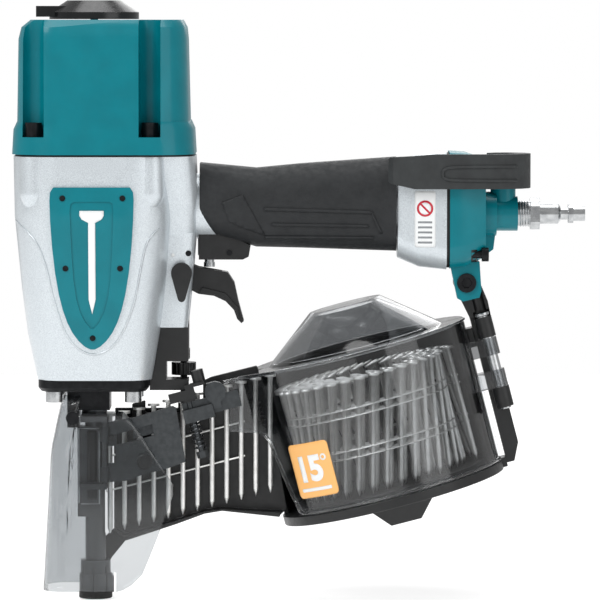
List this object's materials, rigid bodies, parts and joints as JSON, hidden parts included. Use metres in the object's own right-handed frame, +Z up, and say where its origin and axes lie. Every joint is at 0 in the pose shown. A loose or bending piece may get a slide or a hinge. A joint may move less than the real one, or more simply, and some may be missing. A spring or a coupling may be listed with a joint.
{
  "type": "coil nailer",
  "caption": "Pneumatic coil nailer with tilted drum magazine, clear swing cover, feed track and door, contact tip, trigger, rubber grip, rafter hook and air plug",
  "frame": {"origin": "centre of the contact tip's face, on the driver's axis", "axes": "+Z up along the driver from the contact tip, +X to the rear along the handle, +Y to the tool's right-hand side"},
  "size_m": [0.2961, 0.118, 0.311],
  "materials": {
    "teal_paint": "glossy powder coat",
    "pearl_paint": "satin silver paint on cast aluminium",
    "black_plastic": "moulded",
    "grip_rubber": "fine matte texture",
    "seal_rubber": "smooth",
    "urethane": "smooth",
    "black_steel": "black oxide",
    "nose_steel": "hardened steel",
    "bright_steel": "turned and plated",
    "nail_wire": "bright wire nails",
    "spring_wire": "spring wire",
    "alloy": "machined",
    "smoke_clear": "clear smoked polycarbonate"
  },
  "bodies": {
    "tool": {"deflector_screw": "black_steel", "head_cover": "teal_paint", "head_bolts": "black_steel", "head_gasket": "seal_rubber", "head_valve_spring": "spring_wire", "main_housing": "pearl_paint", "cylinder": "alloy", "cylinder_seal": "seal_rubber", "bumper": "urethane", "name_plate": "teal_paint", "name_plate_screws": "black_steel", "housing_pins": "black_steel", "grip_sleeve": "grip_rubber", "end_cap": "teal_paint", "end_cap_gasket": "seal_rubber", "end_cap_bolts": "black_steel", "air_plug": "bright_steel", "hook_bolt": "bright_steel", "trigger_bracket": "black_plastic", "valve_body": "alloy", "valve_spring": "spring_wire", "nose_flange": "black_steel", "nose_guide": "nose_steel", "nose_bolts": "bright_steel", "depth_block": "black_plastic", "chip_shield": "smoke_clear", "shield_screws": "black_steel", "feed_cylinder": "alloy", "door_pin": "nose_steel", "feed_track": "black_plastic", "nail_strip": "nail_wire", "magazine_canister": "black_plastic", "hinge_pin": "bright_steel", "magazine_arm": "black_plastic", "arm_bolts": "black_steel", "contact_spring": "spring_wire"},
    "deflector": {"deflector": "black_plastic"},
    "head_valve": {"head_valve": "alloy"},
    "driver": {"piston": "alloy", "driver_blade": "nose_steel"},
    "hook": {"rafter_hook": "grip_rubber"},
    "trigger": {"trigger": "black_plastic"},
    "selector": {"selector_shaft": "black_steel", "mode_selector": "black_plastic"},
    "stem": {"valve_stem": "bright_steel"},
    "contact": {"contact_tip": "nose_steel", "contact_foot": "grip_rubber", "contact_arm": "black_steel", "contact_link": "black_steel"},
    "depth_wheel": {"depth_wheel": "black_plastic"},
    "pawl": {"feed_piston": "bright_steel", "feed_pawl": "nose_steel"},
    "door": {"feed_door": "black_steel", "shield_flap": "smoke_clear"},
    "cover": {"magazine_cover": "smoke_clear", "latch_bracket": "black_steel", "latch_spring": "spring_wire"},
    "latch": {"door_latch": "black_plastic"},
    "platform": {"nail_platform": "black_plastic", "nail_coil": "nail_wire"}
  },
  "joints": [
    {"name": "deflector_turn", "type": "hinge", "parent": "tool", "child": "deflector", "pos_m": [0, 0, 0.305], "axis": [0, 0, 1], "continuous": true},
    {"name": "head_valve_lift", "type": "slide", "parent": "tool", "child": "head_valve", "axis": [0, 0, 1], "range_m": [0, 0.006], "stiffness_N_per_m": 900, "springref_m": -0.006, "deforming": ["head_valve_spring"]},
    {"name": "drive_stroke", "type": "slide", "parent": "tool", "child": "driver", "axis": [0, 0, -1], "range_m": [0, 0.097]},
    {"name": "hook_swing", "type": "hinge", "parent": "tool", "child": "hook", "pos_m": [0.212, 0, 0.2145], "axis": [0, 0, 1], "range_deg": [0, 90]},
    {"name": "trigger_pull", "type": "hinge", "parent": "tool", "child": "trigger", "pos_m": [0.0455, 0, 0.1705], "axis": [0, -1, 0], "range_deg": [0, 10], "stiffness_Nm_per_rad": 1.2, "springref_deg": -5.73},
    {"name": "valve_stem_push", "type": "slide", "parent": "tool", "child": "stem", "axis": [0, 0, 1], "range_m": [0, 0.0026], "stiffness_N_per_m": 300, "springref_m": -0.003, "deforming": ["valve_spring"]},
    {"name": "mode_select", "type": "hinge", "parent": "tool", "child": "selector", "pos_m": [0.0455, 0, 0.1705], "axis": [0, -1, 0], "range_deg": [0, 90]},
    {"name": "contact_press", "type": "slide", "parent": "tool", "child": "contact", "axis": [0, 0, 1], "range_m": [0, 0.01], "stiffness_N_per_m": 500, "springref_m": -0.012, "deforming": ["contact_spring"]},
    {"name": "depth_turn", "type": "hinge", "parent": "contact", "child": "depth_wheel", "pos_m": [0.046, 0.0065, 0.1195], "axis": [0, 0, 1], "continuous": true},
    {"name": "pawl_feed", "type": "slide", "parent": "tool", "child": "pawl", "axis": [1, 0, 0], "range_m": [0, 0.0074], "stiffness_N_per_m": 400, "springref_m": -0.008},
    {"name": "door_swing", "type": "hinge", "parent": "tool", "child": "door", "pos_m": [0.0055, -0.014, 0.076], "axis": [0, 0, -1], "range_deg": [0, 90]},
    {"name": "cover_swing", "type": "hinge", "parent": "tool", "child": "cover", "pos_m": [0.20772, 0.002, 0.12256], "axis": [-0.2504, 0, 0.9681], "range_deg": [0, 90]},
    {"name": "latch_turn", "type": "hinge", "parent": "cover", "child": "latch", "pos_m": [0.0537, -0.01, 0.085], "axis": [-0.2504, 0, 0.9681], "range_deg": [0, 40]},
    {"name": "platform_step", "type": "slide", "parent": "tool", "child": "platform", "axis": [-0.2504, 0, 0.9681], "range_m": [0, 0.006]}
  ]
}
